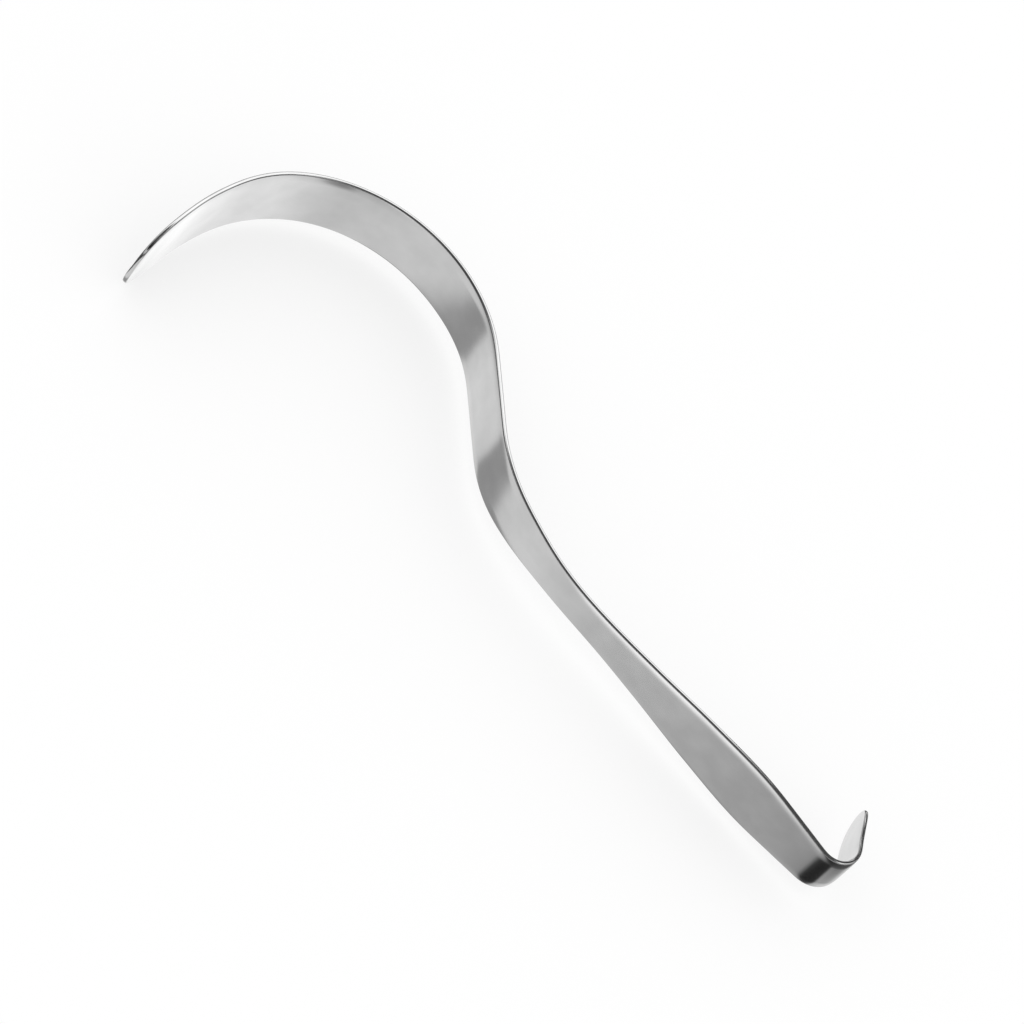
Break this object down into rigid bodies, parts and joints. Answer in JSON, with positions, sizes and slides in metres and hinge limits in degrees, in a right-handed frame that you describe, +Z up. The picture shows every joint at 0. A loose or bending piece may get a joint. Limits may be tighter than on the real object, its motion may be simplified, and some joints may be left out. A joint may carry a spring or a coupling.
{
  "type": "surgical retractor",
  "caption": "One-piece handheld retractor: a flat steel strip bent into a broad curved blade, then a narrow neck and a flat grip that ends in a small hook.",
  "frame": {"origin": "centre of the bounding box, on the surface that the instrument lies on", "axes": "+X along the straight handle, from the blade towards the hook; +Y towards the crown of the blade's curve; +Z up, across the width of the strip"},
  "size_m": [0.2342, 0.0744, 0.0276],
  "materials": {
    "steel": "satin to polished stainless steel"
  },
  "bodies": {
    "root": {"retractor": "steel"}
  },
  "joints": []
}
